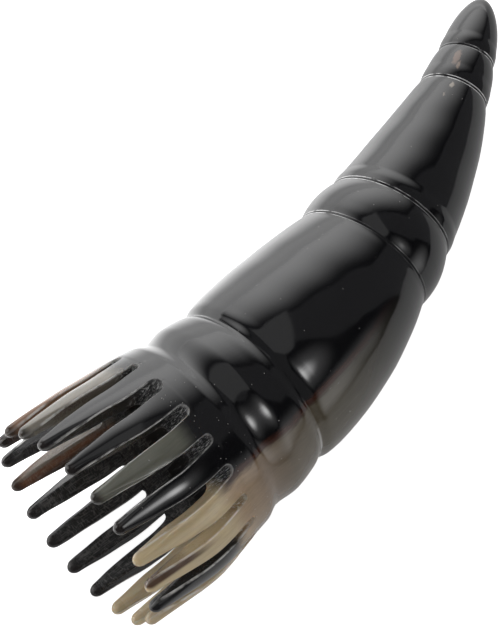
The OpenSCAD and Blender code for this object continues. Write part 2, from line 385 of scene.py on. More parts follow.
# ---------------------------------------------------------------- the teeth
OUTER_FACE, SIDE_WALL, INNER_FACE = 0, 1, 2
OUTER_COLS, WALL_COLS, INNER_COLS = 31, 9, 21
ABOVE_ROWS = 10  # rows of points above the slot ends
TIP_SHARE = 0.07  # share of a tooth that the close rows of its rounded tip cover
EDGE_ROOT, EDGE_SHARE = 0.3, 0.48  # radius of a tooth's edges at its root, and at most, of its wall
RIM_WIDE = 0.24  # width of the pale line along a slot's edge, partly wear and partly painted edge highlight


def tooth_turn(i):
    return FIRST_TURN + 360.0 * i / TEETH + UNEVEN[i % TEETH]


def tooth_part(s):
    """How far down the tooth a station is: 0 at the slot end, 1 at the tip."""
    return (SLOT_OUT - s) / (SLOT_OUT - TOOTH_END)


def trued(s, turn):
    """The station of a point of a tooth, with the end of the comb a little out of square."""
    part = np.maximum(0.0, tooth_part(s))
    return s - END_SLANT * math.cos(math.radians(turn - LONGEST_TURN)) * part**2


def tooth_half(s, depth, number, side):
    """Half the width of a tooth, with the small unevenness of a hand-held saw."""
    t = np.clip(tooth_part(s), 0.0, 1.0)
    wobble = 0.07 * np.sin(0.23 * s + 1.7 * number + side) + 0.04 * np.sin(0.61 * s + 2.9 * number - side)
    half = ROOT_HALF + (TIP_HALF - ROOT_HALF) * t**2 + wobble * ease(t * 5.0) * ease((1.0 - t) * 6.0)
    return half * (1.0 - (NARROW_ROOT + (NARROW_TIP - NARROW_ROOT) * t) * (1.0 - depth))


def wall_at(s):
    """Thickness of the wall at each station."""
    thin = WALL + (TIP_WALL - WALL) * np.clip(tooth_part(s), 0.0, 1.0) ** 0.9
    return np.where(s >= SLOT_OUT, horn_radius(s) - hollow_radius(s), thin)


def tip_factor(s):
    """How much of its section a tooth still has, as its tip is rounded off."""
    x = np.clip((s - TOOTH_END) / TIP_ROUND, 0.0, 1.0)
    return np.sqrt(1.0 - (1.0 - x) ** 2)


def slot_edge(depth):
    """The station where a slot ends, which the saw leaves lower inside than outside."""
    return SLOT_OUT - SLOT_SLANT * (1.0 - depth)


def rounding(distance, c):
    """How far a face drops near its edge, for an edge rounded to radius c."""
    short = np.clip(c - distance, 0.0, c)
    return c - np.sqrt(np.maximum(c * c - short * short, 0.0))


def section_columns():
    """side (-1 to 1), depth (0 inside, 1 outside) and face of each point round a section."""

    def across(n):
        u = np.linspace(-1.0, 1.0, n)
        return np.sign(u) * (1.0 - (1.0 - np.abs(u)) ** 1.8)

    outer, inner = across(OUTER_COLS), across(INNER_COLS)[::-1]
    down = np.linspace(1.0, 0.0, WALL_COLS + 2)[1:-1]
    side = np.concatenate([outer, np.ones(WALL_COLS), inner, -np.ones(WALL_COLS)])
    depth = np.concatenate([np.ones(OUTER_COLS), down, np.zeros(INNER_COLS), down[::-1]])
    faces = [OUTER_FACE, SIDE_WALL, INNER_FACE, SIDE_WALL]
    return side, depth, np.repeat(faces, [OUTER_COLS, WALL_COLS, INNER_COLS, WALL_COLS])


def tooth_rows():
    """Row kinds: above the slot end, round it, and down the tooth, as (kind, value)."""
    above = [("above", 1.0 - (1.0 - k / ABOVE_ROWS) ** 1.6) for k in range(ABOVE_ROWS)]
    round_end = [("round", math.radians(6.0 * k)) for k in range(15)]
    down = [("down", q) for q in np.linspace(1.0, TIP_SHARE, 75)]
    tip = [("down", TIP_SHARE * (1.0 - math.sin(math.radians(a)))) for a in range(8, 88, 6)]
    return above + round_end + down + tip


class Stave:
    """Where one tooth stands, and the slots before and after it."""

    def __init__(self, number):
        i = number - 1
        self.number = number
        self.turn = tooth_turn(i)
        self.before = (self.turn - tooth_turn(i - 1)) / 2.0
        self.after = (tooth_turn(i + 1) - self.turn) / 2.0
        self.gap_before = self.half_gap(self.before)
        self.gap_after = self.half_gap(self.after)

    def half_gap(self, angle):
        """Half the width of a slot where its round end meets its straight sides."""
        return math.radians(angle) * float(horn_radius(SLOT_OUT)) - ROOT_HALF


def tooth_stations(stave, side, depth):
    """The station of each point, and how far it lies below the top of its slot."""
    root = slot_edge(depth)
    gap = stave.gap_before + (stave.gap_after - stave.gap_before) * ((side + 1.0) / 2.0)
    rows = []
    for kind, value in tooth_rows():
        if kind == "above":
            rows.append(TOOTH_TOP + value * (root - TOOTH_TOP))
        elif kind == "round":
            rows.append(root - gap * (1.0 - math.cos(value)))
        else:
            rows.append(TOOTH_END + value * (root - gap - TOOTH_END))
    s = np.stack(rows)
    return s, root - s


def edge_radii(s, t):
    """Radii of a tooth's rounded outer and inner edges, which grow towards its tip."""
    part = tooth_part(s)
    outer = np.minimum(EDGE_ROOT + 1.2 * ease((part - 0.45) / 0.55), t * EDGE_SHARE)
    inner = np.minimum(EDGE_ROOT + 1.1 * ease((part - 0.6) / 0.4), t * EDGE_SHARE)
    return outer, inner


def half_width(stave, s, x, side, level, r_face):
    """Half the width at each point: the whole stave above the slot ends, the tooth below."""
    full = np.radians(np.where(side < 0, stave.before, stave.after)) * r_face
    below = x / np.where(side < 0, stave.gap_before, stave.gap_after)
    opened = np.sqrt(np.maximum(0.0, 1.0 - (1.0 - np.clip(below, 0.0, 1.0)) ** 2))
    narrow = np.where(
        side < 0,
        tooth_half(s, level, stave.number, -1),
        tooth_half(s, level, stave.number, 1),
    )
    return full - (full - narrow) * opened


def slot_distance(stave, s, x, level, r_face, reach):
    """How far each point is from the outline of the nearer slot."""

    def to_slot(which, angle, gap):
        full = np.radians(angle) * r_face
        to_middle = full - which * reach
        straight = to_middle - (full - tooth_half(s, level, stave.number, which))
        curved = np.sqrt((x - gap) ** 2 + to_middle**2) - gap
        return np.where(x < gap, curved, straight)

    before = to_slot(-1, stave.before, stave.gap_before)
    after = to_slot(1, stave.after, stave.gap_after)
    return np.maximum(np.minimum(before, after), 0.0)


def tooth_finish(s, x, face, distance):
    """How polished, torn and inward each point is, as the material reads them."""
    part = tooth_part(s)
    polish = np.where(face == OUTER_FACE, ease(distance / 0.3), 0.0)
    polish = np.maximum(polish, ease((part - 0.86) / 0.1))
    polish = np.where(face == SIDE_WALL, np.maximum(polish, 0.45 * ease(part * 2.0)), polish)
    torn_end = np.where(face == OUTER_FACE, 0.0, ease(1.0 - (x - 1.5) / 4.5)) * (x > -0.5)
    inner = (face == INNER_FACE) + 0.0 * s
    return np.stack([polish, torn_end, inner], -1)


def tooth_rim(s, x, face, depth, t, distance):
    """How strongly the pale line of wear and painted edge highlight shows along each slot's sharp edge:
    least at the tip and the slot's end.
    """
    on_wall = np.where(face == SIDE_WALL, (1.0 - depth) * t, RIM_WIDE)
    away = np.where(face == OUTER_FACE, distance, on_wall)
    rim = ease(1.0 - away / RIM_WIDE) * (0.45 * ease((x + 0.3) / 0.3) + 0.55 * ease((x - 1.5) / 2.0))
    return rim * (1.0 - 0.8 * ease((tooth_part(s) - 0.8) / 0.15))


def tooth_surface(stave, side, depth, face):
    """Each point as depth below its slot's top, wall, distance to the slot, station, radius, angle."""
    s, x = tooth_stations(stave, side, depth)
    t = wall_at(s)
    c_out, c_in = edge_radii(s, t)
    # points on a side wall run only between the two rounded edges
    level = np.where(face == SIDE_WALL, (c_in + (t - c_in - c_out) * depth) / t, depth)
    r_out = horn_radius(s) + hand_carved(s, stave.turn) * ease(1.0 - (TOOTH_TOP - s))
    r_face = r_out - t * (1.0 - level)
    reach = side * half_width(stave, s, x, side, level, r_face)
    distance = slot_distance(stave, s, x, level, r_face, reach)

    outer_drop = np.where(face == OUTER_FACE, rounding(distance, c_out), 0.0)
    inner_drop = np.where(face == INNER_FACE, rounding(distance, c_in), 0.0)
    crowned = CROWNING * ease(tooth_part(s) / CROWNING_PART) * (side * level) ** 2
    tip = tip_factor(s)
    middle = r_out - t / 2.0
    r = middle + (r_face - middle - (outer_drop - inner_drop + crowned)) * tip
    lean = LEAN * (tooth_part(s) - 0.5) * ease(tooth_part(s) * 4.0)
    return x, t, distance, s, r, stave.turn - lean + np.degrees(reach * tip / r)


def tooth_apex(turn):
    """The station, radius and angle of the last point of a tooth."""
    s = np.array([TOOTH_END])
    return s, horn_radius(s) - wall_at(s) / 2.0, np.array([turn - LEAN / 2.0])


def tooth(number):
    """One stave of the crown: a piece of the rim, half a slot end on each side, a tooth."""
    stave = Stave(number)
    side, depth, face = section_columns()
    x, t, distance, s, r, angle = tooth_surface(stave, side, depth, face)
    end, end_r, end_turn = tooth_apex(stave.turn)
    points, straight, finish = join([
        [
            placed(trued(s, stave.turn), r, angle).reshape(-1, 3),
            straightened(s, r, angle).reshape(-1, 3),
            tooth_finish(s, x, face, distance).reshape(-1, 3),
        ],
        [
            placed(trued(end, stave.turn), end_r, end_turn),
            straightened(end, end_r, end_turn),
            np.array([[1.0, 0.0, 0.0]]),
        ],
    ])
    rim = np.append(tooth_rim(s, x, face, depth, t, distance).ravel(), 0.0)

    rows, cols = s.shape
    count = rows * cols
    quads = grid(0, rows, cols, True)[:, ::-1]
    tip_fan = [f[::-1] for f in fan(list(range(count - cols, count)), count)]
    normals = visible_normals(points, quads, tip_fan, hidden_quads(rows, cols, face))
    # the top edge takes the band's own normals, so that no seam shows
    top = np.full(OUTER_COLS, TOOTH_TOP)
    normals[:OUTER_COLS] = surface_normals(top, angle[0][:OUTER_COLS], outer_radius)
    faces = quads.tolist() + tip_fan + [list(range(cols))]
    return piece(f"tooth_{number:02d}_horn", points, straight, finish, faces, normals, rim)


def hidden_quads(rows, cols, face):
    """Which quads lie against the next stave, so that they don't tilt the visible edge."""
    hidden = np.zeros((rows - 1, cols), bool)
    wall = (face == SIDE_WALL) | (np.roll(face, -1) == SIDE_WALL)
    hidden[: ABOVE_ROWS - 1, wall] = True
    return hidden.ravel()


def visible_normals(points, quads, tris, hidden):
    """Smooth normals from the faces that can be seen."""
    laid = lay(points) * 1000.0
    total = np.zeros_like(laid)

    def add(index):
        p = laid[index]
        if index.shape[1] == 4:
            n = np.cross(p[:, 2] - p[:, 0], p[:, 3] - p[:, 1])
        else:
            n = np.cross(p[:, 1] - p[:, 0], p[:, 2] - p[:, 0])
        n /= np.linalg.norm(n, axis=1, keepdims=True) + 1e-9
        for k in range(index.shape[1]):
            np.add.at(total, index[:, k], n)

    add(quads[~hidden])
    add(np.array(tris))
    bare = np.linalg.norm(total, axis=1) < 1e-6
    total[bare] = (0.0, 0.0, 1.0)
    return total / np.linalg.norm(total, axis=1, keepdims=True)


# ---------------------------------------------------------------- materials
class Nodes:
    """Short names for building a shader graph."""

    def __init__(self, tree):
        self.tree = tree

    def add(self, kind, inputs=(), **settings):
        node = self.tree.nodes.new(kind)
        for key, value in settings.items():
            setattr(node, key, value)
        for key, value in dict(inputs).items():
            self.put(node.inputs[key], value)
        return node

    def put(self, socket, value):
        if isinstance(value, bpy.types.NodeSocket):
            self.tree.links.new(value, socket)
        else:
            socket.default_value = value

    def math(self, operation, a, b=0.0, c=0.0, clamp=False):
        node = self.add("ShaderNodeMath", {0: a, 1: b, 2: c}, operation=operation, use_clamp=clamp)
        return node.outputs[0]

    def vector(self, operation, a, b=(0, 0, 0)):
        node = self.add("ShaderNodeVectorMath", {0: a, 1: b}, operation=operation)
        return node.outputs[0]

    def both(self, a, b):
        """Where two masks overlap."""
        return self.math("MULTIPLY", a, b)

    def tint(self, factor, under, over):
        """One colour over another. A colour is a socket, or red, green and blue."""
        under, over = self.flat(under), self.flat(over)
        node = self.add("ShaderNodeMix", {0: factor, 6: under, 7: over}, data_type="RGBA")
        return node.outputs[2]

    def flat(self, colour):
        """What a colour socket takes: another socket, or a colour with its alpha."""
        return colour if isinstance(colour, bpy.types.NodeSocket) else (*colour[:3], 1.0)

    def step(self, value, low, high):
        """0 below low, 1 above high, smooth between. low may be the larger."""
        node = self.add(
            "ShaderNodeMapRange", {0: value, 1: low, 2: high}, interpolation_type="SMOOTHSTEP"
        )
        return node.outputs[0]

    def ramp(self, value, stops):
        node = self.add("ShaderNodeValToRGB", {0: value})
        bar = node.color_ramp
        while len(bar.elements) < len(stops):
            bar.elements.new(0.5)
        for element, (at, colour) in zip(bar.elements, stops):
            element.position = at
            element.color = (*colour, 1.0)
        return node.outputs[0]

    def noise(self, at, scale, detail=2.0, rough=0.5, distortion=0.0):
        node = self.add(
            "ShaderNodeTexNoise",
            {"Vector": at, "Scale": scale, "Detail": detail, "Roughness": rough, "Distortion": distortion},
        )
        return node.outputs[0]


def new_material(name):
    material = bpy.data.materials.new(name)
    material.use_nodes = True
    return material, Nodes(material.node_tree)


BLACK = (0.006, 0.006, 0.007)
DARK_BROWN = (0.030, 0.010, 0.005)
AMBER = (0.200, 0.100, 0.050)
PALE_GREY = (0.178, 0.160, 0.130)
OLIVE = (0.118, 0.118, 0.096)
RUST = (0.190, 0.075, 0.030)
BEIGE = (0.230, 0.195, 0.160)
TAN = (0.540, 0.435, 0.268)
TAN_GREY = (0.520, 0.430, 0.290)
BORDER_RED = (0.045, 0.015, 0.009)
TIP_DARK = (0.012, 0.008, 0.007)
STRIPE_BROWN = (0.055, 0.017, 0.006)
# white of the painted highlights and reflections along the grooves
GROOVE_HIGHLIGHT_WHITE = (0.90, 0.90, 0.90)
SAW_GREY = (0.52, 0.51, 0.50)
# torn white strands at the slot ends, pale enough to carry painted glints
TORN_WHITE_AND_GLINT = (0.80, 0.80, 0.79)
# pale line along the slot edges: wear and a painted edge highlight
WORN_AND_HIGHLIT_WHITE = (0.76, 0.75, 0.73)
DUST = (0.50, 0.48, 0.45)

# Colour of the teeth against turn, in degrees, as the streaks in the horn run
TOOTH_STREAKS = [
    (0, DARK_BROWN), (9, DARK_BROWN), (14, PALE_GREY), (24, PALE_GREY), (27, AMBER), (31, AMBER),
    (36, PALE_GREY), (49.5, PALE_GREY), (52.5, DARK_BROWN), (55, BLACK), (95, BLACK), (98, OLIVE),
    (107, OLIVE), (111, BLACK), (130, BLACK), (133, TAN), (164.5, TAN), (166.5, DARK_BROWN),
    (168, BLACK), (186, BLACK), (189, TAN_GREY), (244, TAN), (247, BLACK), (320, BLACK),
    (324, DARK_BROWN), (327, RUST), (329, RUST), (331, BEIGE), (336, BEIGE), (339, BLACK),
    (350, BLACK), (360, DARK_BROWN),
]

# The pale flank runs up the grip: its colour against the share of FLANK_LEN from FLANK_FROM
FLANK_FROM, FLANK_LEN = -5.0, 80.0
FLANK_COLOURS = [
    (0.0, (0.440, 0.330, 0.195)),
    (0.1, (0.360, 0.250, 0.145)),
    (0.2, (0.200, 0.140, 0.090)),
    (0.3, (0.120, 0.094, 0.064)),
    (0.45, (0.085, 0.072, 0.050)),
    (0.75, (0.045, 0.040, 0.030)),
    (1.0, BLACK),
]


def horn_turn(n, where):
    """The angle round the horn in degrees, bare and as the wandering grain shifts it."""
    _, u, v = n.add("ShaderNodeSeparateXYZ", {0: where}).outputs
    bare = n.math("DEGREES", n.math("ARCTAN2", v, u))
    wander = n.noise(n.vector("MULTIPLY", where, (0.05, 0.16, 0.16)), 1.0, 3.0)
    fibre = n.noise(n.vector("MULTIPLY", where, (0.035, 1.6, 1.6)), 1.0, 4.0, 0.65)
    shift = n.math("MULTIPLY", n.math("SUBTRACT", wander, 0.5), 9.0)
    turn = n.math("ADD", bare, shift)
    turn = n.math("ADD", turn, n.math("MULTIPLY", n.math("SUBTRACT", fibre, 0.5), 4.0))
    return bare, n.math("WRAP", turn, 360.0, 0.0), shift, fibre


def handle_colour(n, s, turn):
    """Black horn, with the pale flank that runs up the grip and its red border."""
    flank = n.both(n.step(turn, 134.0, 141.0), n.step(turn, 215.0, 180.0))
    border = n.both(n.step(turn, 132.5, 135.5), n.step(turn, 140.0, 136.5))
    along = n.math("DIVIDE", n.math("SUBTRACT", s, FLANK_FROM), FLANK_LEN, clamp=True)
    colour = n.tint(n.both(flank, n.step(s, 78.0, 30.0)), BLACK, n.ramp(along, FLANK_COLOURS))
    redness = n.both(border, n.step(s, 66.0, 35.0))
    return n.tint(n.math("MULTIPLY", redness, 0.85), colour, BORDER_RED)


def teeth_colour(n, s, turn, bare_turn, pale_teeth):
    """The streaks of the teeth, their dark tips and the brown stripe on one tan tooth."""
    streaks = n.ramp(n.math("DIVIDE", turn, 360.0), [(a / 360.0, c) for a, c in TOOTH_STREAKS])
    tip = n.math("SUBTRACT", n.step(s, TOOTH_END + 3.6, TOOTH_END + 0.8), pale_teeth, clamp=True)
    streaks = n.tint(n.math("MULTIPLY", tip, 0.85), streaks, TIP_DARK)
    stripe = n.both(n.step(bare_turn, 152.9, 153.7), n.step(bare_turn, 156.9, 155.2))
    stripe = n.both(stripe, n.step(s, -5.0, -16.0))
    return n.tint(n.math("MULTIPLY", stripe, 0.93), streaks, STRIPE_BROWN)


def horn_colour(n, where):
    """Base colour over the whole horn, its fibres, and where the pale teeth stand."""
    s = n.add("ShaderNodeSeparateXYZ", {0: where}).outputs[0]
    bare_turn, turn, shift, fibre = horn_turn(n, where)
    pale_teeth = n.both(n.step(turn, 129.0, 134.0), n.step(turn, 250.0, 245.0))
    in_teeth = n.step(n.math("ADD", s, n.math("MULTIPLY", shift, 0.6)), 3.0, -3.0)
    teeth = teeth_colour(n, s, turn, bare_turn, pale_teeth)
    colour = n.tint(in_teeth, handle_colour(n, s, turn), teeth)

    # cloudy depth in the translucent horn, and fine fibres along it
    cloud = n.noise(n.vector("MULTIPLY", where, (0.11, 0.22, 0.22)), 1.0, 4.0, 0.6, 0.6)
    shade = n.math("ADD", 0.72, n.math("MULTIPLY", cloud, 0.35))
    shade = n.math("ADD", shade, n.math("MULTIPLY", n.math("SUBTRACT", fibre, 0.5), 0.45))
    grey = n.add("ShaderNodeCombineXYZ", {0: shade, 1: shade, 2: shade}).outputs[0]
    return n.vector("MULTIPLY", colour, grey), fibre, pale_teeth


# station, turn, half length and half width (mm) and colour of the pale flecks near the tip
FLECKS = [
    (134.0, 78.0, 3.6, 0.9, (0.20, 0.13, 0.10)),
    (131.5, 86.0, 1.6, 0.5, (0.25, 0.18, 0.14)),
    (124.5, 88.0, 1.7, 0.45, (0.36, 0.31, 0.26)),
    (120.5, 84.0, 0.8, 0.3, (0.22, 0.18, 0.15)),
]

# station of a groove, how far from it its painted highlight lines lie, half their width (mm), and how
# bright these painted highlights and reflections are against turn in degrees
GROOVE_HIGHLIGHTS = [
    (S_GRIP - 0.3, 0.0, 0.55, {0: 0.4, 30: 0.12, 60: 0.0, 150: 0.0, 170: 0.35, 200: 0.8, 260: 0.1}),
    (S_NECK, 0.0, 0.9, {0: 0.15, 20: 0.0, 150: 0.0, 184: 0.0, 202: 0.4, 240: 0.1, 260: 0.0}),
    (S_CAP, 0.42, 0.17, {0: 0.5, 45: 0.2, 90: 0.1, 115: 0.6, 150: 0.9, 200: 0.95, 260: 0.2}),
    (S_BEAD, 0.42, 0.17, {0: 0.95, 60: 0.8, 105: 0.6, 150: 0.7, 200: 0.95, 260: 0.2}),
    (S_UPPER, 0.42, 0.17, {0: 0.95, 60: 0.8, 85: 0.35, 120: 0.15, 200: 0.3, 260: 0.1}),
    (S_WAIST, 0.42, 0.17, {0: 0.95, 45: 0.8, 72: 0.15, 95: 0.0, 200: 0.1, 260: 0.1}),
]


def painted_groove_highlights(n, where, colour):
    """Painted highlights and reflections as pale lines on both lips of each groove, or along the groove
    itself where the lips are not apart, and a dark line of painted shade in the cut between.
    """
    s, u, v = n.add("ShaderNodeSeparateXYZ", {0: where}).outputs
    turn = n.math("WRAP", n.math("DEGREES", n.math("ARCTAN2", v, u)), 360.0, 0.0)
    uneven = n.noise(n.vector("MULTIPLY", where, (0.3, 0.5, 0.5)), 1.0, 3.0)
    for at, apart, half, levels in GROOVE_HIGHLIGHTS:
        level = n.ramp(n.math("DIVIDE", turn, 360.0), [(a / 360.0, (q, q, q)) for a, q in levels.items()])
        away = n.math("ABSOLUTE", n.math("SUBTRACT", s, at))
        lip = n.math("ABSOLUTE", n.math("SUBTRACT", away, apart))
        line = n.both(n.step(lip, half, 0.2 * half), level)
        line = n.both(line, n.step(uneven, 0.30, 0.52))
        if apart:
            # painted shade: a dark line in the cut between the two lips
            colour = n.tint(n.step(away, 0.26, 0.12), colour, BLACK)
        # pale line of painted highlight on the lips, and of painted reflection in the grip and neck
        # valleys
        colour = n.tint(line, colour, GROOVE_HIGHLIGHT_WHITE)
    return colour


def flecks(n, where, colour):
    """Small pale inclusions near the tip."""
    jitter = n.add("ShaderNodeTexNoise", {"Vector": where, "Scale": 0.8, "Detail": 3.0}).outputs[1]
    ragged = n.vector("ADD", where, n.vector("MULTIPLY", jitter, (1.2, 1.2, 1.2)))
    middle = 0.6  # the jitter's own mean
    for s, turn, long, wide, tint in FLECKS:
        r, a = float(horn_radius(s)), math.radians(turn)
        at = (s + middle, r * math.cos(a) + middle, r * math.sin(a) + middle)
        away = n.vector("MULTIPLY", n.vector("SUBTRACT", ragged, at), (1 / long, 1 / wide, 1 / wide))
        size = n.add("ShaderNodeVectorMath", {0: away}, operation="LENGTH").outputs[1]
        colour = n.tint(n.math("MULTIPLY", n.step(size, 1.25, 0.5), 0.7), colour, tint)
    return colour


def specks(n, where, cell, size, share):
    """Tiny specks: one in each chosen cell."""
    node = n.add("ShaderNodeTexVoronoi", {"Vector": where, "Scale": 1.0 / cell})
    draw = n.add("ShaderNodeSeparateXYZ", {0: node.outputs["Color"]}).outputs[0]
    chosen = n.math("GREATER_THAN", draw, 1.0 - share)
    return n.both(chosen, n.step(node.outputs["Distance"], size / cell, size / cell * 0.4))


CROWN_AROUND = 25.0  # mm round the crown per radian


def unrolled(n, where):
    """Station, distance round the horn and radius, in mm, for marks that follow the saw."""
    s, u, v = n.add("ShaderNodeSeparateXYZ", {0: where}).outputs
    across = n.add("ShaderNodeCombineXYZ", {1: u, 2: v}).outputs[0]
    radius = n.add("ShaderNodeVectorMath", {0: across}, operation="LENGTH").outputs["Value"]
    around = n.math("MULTIPLY", n.math("ARCTAN2", v, u), CROWN_AROUND)
    return n.add("ShaderNodeCombineXYZ", {0: s, 1: around, 2: radius}).outputs[0]


def saw_marks(n, where):
    """The noises that sawn faces are drawn with, in both colour and relief."""
    rolled = unrolled(n, where)
    return {
        "drag": n.noise(n.vector("MULTIPLY", rolled, (0.20, 1.2, 3.0)), 1.0, 4.0, 0.7),
        "along": n.noise(n.vector("MULTIPLY", rolled, (0.25, 3.8, 0.6)), 1.0, 3.0, 0.6, 0.2),
        "cross": n.noise(n.vector("MULTIPLY", rolled, (4.2, 0.9, 0.6)), 1.0, 3.0, 0.6, 0.3),
        "torn": n.noise(n.vector("MULTIPLY", rolled, (1.0, 7.0, 1.2)), 1.0, 3.0, 0.7, 0.25),
        "pits": n.noise(where, 2.6, 4.0, 0.7),
    }


def sawn_colour(n, colour, marks, sawn, slot_end, inner, pale_teeth):
    """Pale scratches on sawn faces; at the slot ends painted shade, and torn white strands bright enough
    to stand for painted glints.
    """
    scored = n.math("MAXIMUM", n.step(marks["along"], 0.54, 0.64), n.step(marks["cross"], 0.53, 0.62))
    lines = n.math("MAXIMUM", n.step(marks["drag"], 0.54, 0.70), n.both(scored, inner))
    torn_area = n.both(slot_end, n.both(sawn, n.math("MULTIPLY_ADD", inner, -0.8, 1.0)))
    torn = n.both(n.step(marks["torn"], 0.54, 0.62), torn_area)
    # painted shade: the slot ends are darkened towards black, except on the pale teeth
    slot_end_shade = n.math("SUBTRACT", torn_area, pale_teeth, clamp=True)
    colour = n.tint(n.math("MULTIPLY", slot_end_shade, 0.4), colour, BLACK)
    colour = n.tint(n.math("MULTIPLY", n.both(lines, sawn), 0.20), colour, SAW_GREY)
    # torn strands: white fibres, painted brighter to stand for glints
    return n.tint(n.math("MULTIPLY", torn, 0.7), colour, TORN_WHITE_AND_GLINT)


def worn_and_highlit_edges(n, where, colour):
    """A pale line, here and there broken, along the sharp edges of the slots: partly wear, partly a
    painted highlight on the edges.
    """
    rim = n.add("ShaderNodeAttribute", attribute_name="rim").outputs["Fac"]
    patchy = n.noise(where, 0.22, 3.0, 0.6)
    # pale line: partly wear, partly a painted highlight on the edges
    pale_edge = n.both(rim, n.step(patchy, 0.34, 0.56))
    return n.tint(n.math("MULTIPLY", pale_edge, 0.7), colour, WORN_AND_HIGHLIT_WHITE)


def dust_mask(n, where, polish):
    """Dust all over the polished horn, and finer chips near the slot ends."""
    station = n.add("ShaderNodeSeparateXYZ", {0: where}).outputs[0]
    near_slots = n.both(n.step(station, -6.0, 2.0), n.step(station, 15.0, 7.0))
    chips = n.both(specks(n, where, 1.0, 0.15, 0.30), near_slots)
    return n.both(n.math("MAXIMUM", specks(n, where, 2.1, 0.16, 0.25), chips), polish)


def horn_roughness(n, where, pits, sawn, dust, roughness):
    """Polish with faint smears, satin where sawn."""
    smear = n.noise(n.vector("MULTIPLY", where, (0.12, 0.5, 0.5)), 1.0, 4.0, 0.6)
    gloss = n.math("MULTIPLY_ADD", smear, 0.07, roughness - 0.03)
    satin = n.math("MULTIPLY_ADD", pits, 0.20, 0.30)
    rough = n.math("MULTIPLY_ADD", n.math("SUBTRACT", satin, gloss), sawn, gloss)
    return n.math("ADD", rough, n.math("MULTIPLY", dust, 0.4), clamp=True)


def horn_relief(n, reliefs):
    """A bumped normal from reliefs, each a mask and its height in mm."""
    height = 0.0
    for mask, high in reliefs:
        height = n.math("MULTIPLY_ADD", mask, high, height)
    bump = n.add("ShaderNodeBump", {"Strength": 1.0, "Distance": 0.001, "Height": height})
    return bump.outputs[0]


def horn_material(name, roughness, subsurface):
    """Polished horn: its streaks, its sawn faces, its wear and its painted highlights and shade are all
    worked out from place.
    """
    material, n = new_material(name)
    shader = n.tree.nodes["Principled BSDF"]
    shader.inputs["IOR"].default_value = 1.55
    shader.inputs["Subsurface Weight"].default_value = subsurface
    shader.inputs["Subsurface Radius"].default_value = (1.0, 0.62, 0.32)
    shader.inputs["Subsurface Scale"].default_value = 0.0013  # metres

    where = n.add("ShaderNodeAttribute", attribute_name="horn").outputs["Vector"]
    finish = n.add("ShaderNodeAttribute", attribute_name="finish").outputs["Vector"]
    polish, slot_end, inner = n.add("ShaderNodeSeparateXYZ", {0: finish}).outputs
    sawn = n.math("SUBTRACT", 1.0, polish)
    marks = saw_marks(n, where)
    dust = dust_mask(n, where, polish)

    colour, fibre, pale_teeth = horn_colour(n, where)
    colour = painted_groove_highlights(n, where, flecks(n, where, colour))
    colour = sawn_colour(n, colour, marks, sawn, slot_end, inner, pale_teeth)
    colour = worn_and_highlit_edges(n, where, colour)
    colour = n.tint(n.math("MULTIPLY", dust, 0.5), colour, DUST)
    n.put(shader.inputs["Base Color"], colour)
    rough = horn_roughness(n, where, marks["pits"], sawn, dust, roughness)
    n.put(shader.inputs["Roughness"], rough)

    reliefs = [
        (n.both(marks["drag"], sawn), 0.16),
        (n.both(marks["cross"], inner), 0.10),
        (n.both(marks["along"], inner), 0.12),
        (n.both(marks["pits"], sawn), 0.08),
        (n.both(marks["torn"], n.both(slot_end, sawn)), 0.45),
        (n.both(fibre, polish), 0.006),
        (dust, 0.02),
    ]
    n.put(shader.inputs["Normal"], horn_relief(n, reliefs))
    return material


def floor_material():
    """White table. Its +Y side glows, which lights the comb's flank, and all of it looks white."""
    material, n = new_material("table_white")
    shader = n.tree.nodes["Principled BSDF"]
    at = n.add("ShaderNodeTexCoord").outputs["Object"]
    faint = n.noise(at, 6.0, 2.0)
    n.put(shader.inputs["Base Color"], n.tint(faint, (0.86, 0.86, 0.86), (0.88, 0.88, 0.88)))
    shader.inputs["Roughness"].default_value = 0.6
    shader.inputs["Emission Color"].default_value = (1.0, 1.0, 1.0, 1.0)
    side = n.add("ShaderNodeSeparateXYZ", {0: at}).outputs[1]
    seen = n.add("ShaderNodeLightPath").outputs["Is Camera Ray"]
    near = n.both(n.step(side, 0.0, 0.03), n.step(side, 0.07, 0.03))
    strength = n.math("MULTIPLY", n.step(side, -0.02, 0.12), 1.35)
    strength = n.math("MULTIPLY_ADD", near, 1.2, strength)
    strength = n.math("MULTIPLY_ADD", seen, 0.85, strength)
    n.put(shader.inputs["Emission Strength"], strength)
    return material


# ---------------------------------------------------------------- the comb
HANDLE = [  # node, what builds it, its two ends and its rows of points
    ("tip_cap", pointed_length, S_CAP, S_TIP, 70),
    ("tip_bead", solid_length, S_BEAD, S_CAP, 40),
    ("upper_handle", solid_length, S_UPPER, S_BEAD, 100),
    ("waist_ring", solid_length, S_WAIST, S_UPPER, 56),
    ("grip_barrel", solid_length, S_GRIP, S_WAIST, 110),
    ("crown_ring", blind_length, S_NECK, S_GRIP, 56),
    ("crown_band", hollow_length, TOOTH_TOP, S_NECK, 36),
]

FINISHES = {  # roughness where polished, and how much light sinks in
    "black_horn": (0.09, 0.0),
    "grey_horn": (0.11, 0.2),
    "tan_horn": (0.13, 0.6),
    "amber_horn": (0.11, 0.3),
}


def build_comb():
    slots = {entry["node"]: entry["material_slot"] for entry in frame["record"]["subparts"]}
    materials = {slot: horn_material(slot, *values) for slot, values in FINISHES.items()}
    made = {node: build(node + "_horn", a, b, n) for node, build, a, b, n in HANDLE}
    made.update({f"tooth_{k:02d}": tooth(k) for k in range(1, TEETH + 1)})
    for node, obj in made.items():
        obj.data.materials.append(materials[slots[node]])
        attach(obj, "root")
        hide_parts(node)


# ---------------------------------------------------------------- table, lights and camera
TABLE_HALF, TABLE_CELLS = 4.0, 8
CARD_DISTANCE = 1.3
CORE_SHARE = 0.45  # size of the bright heart of an oval card
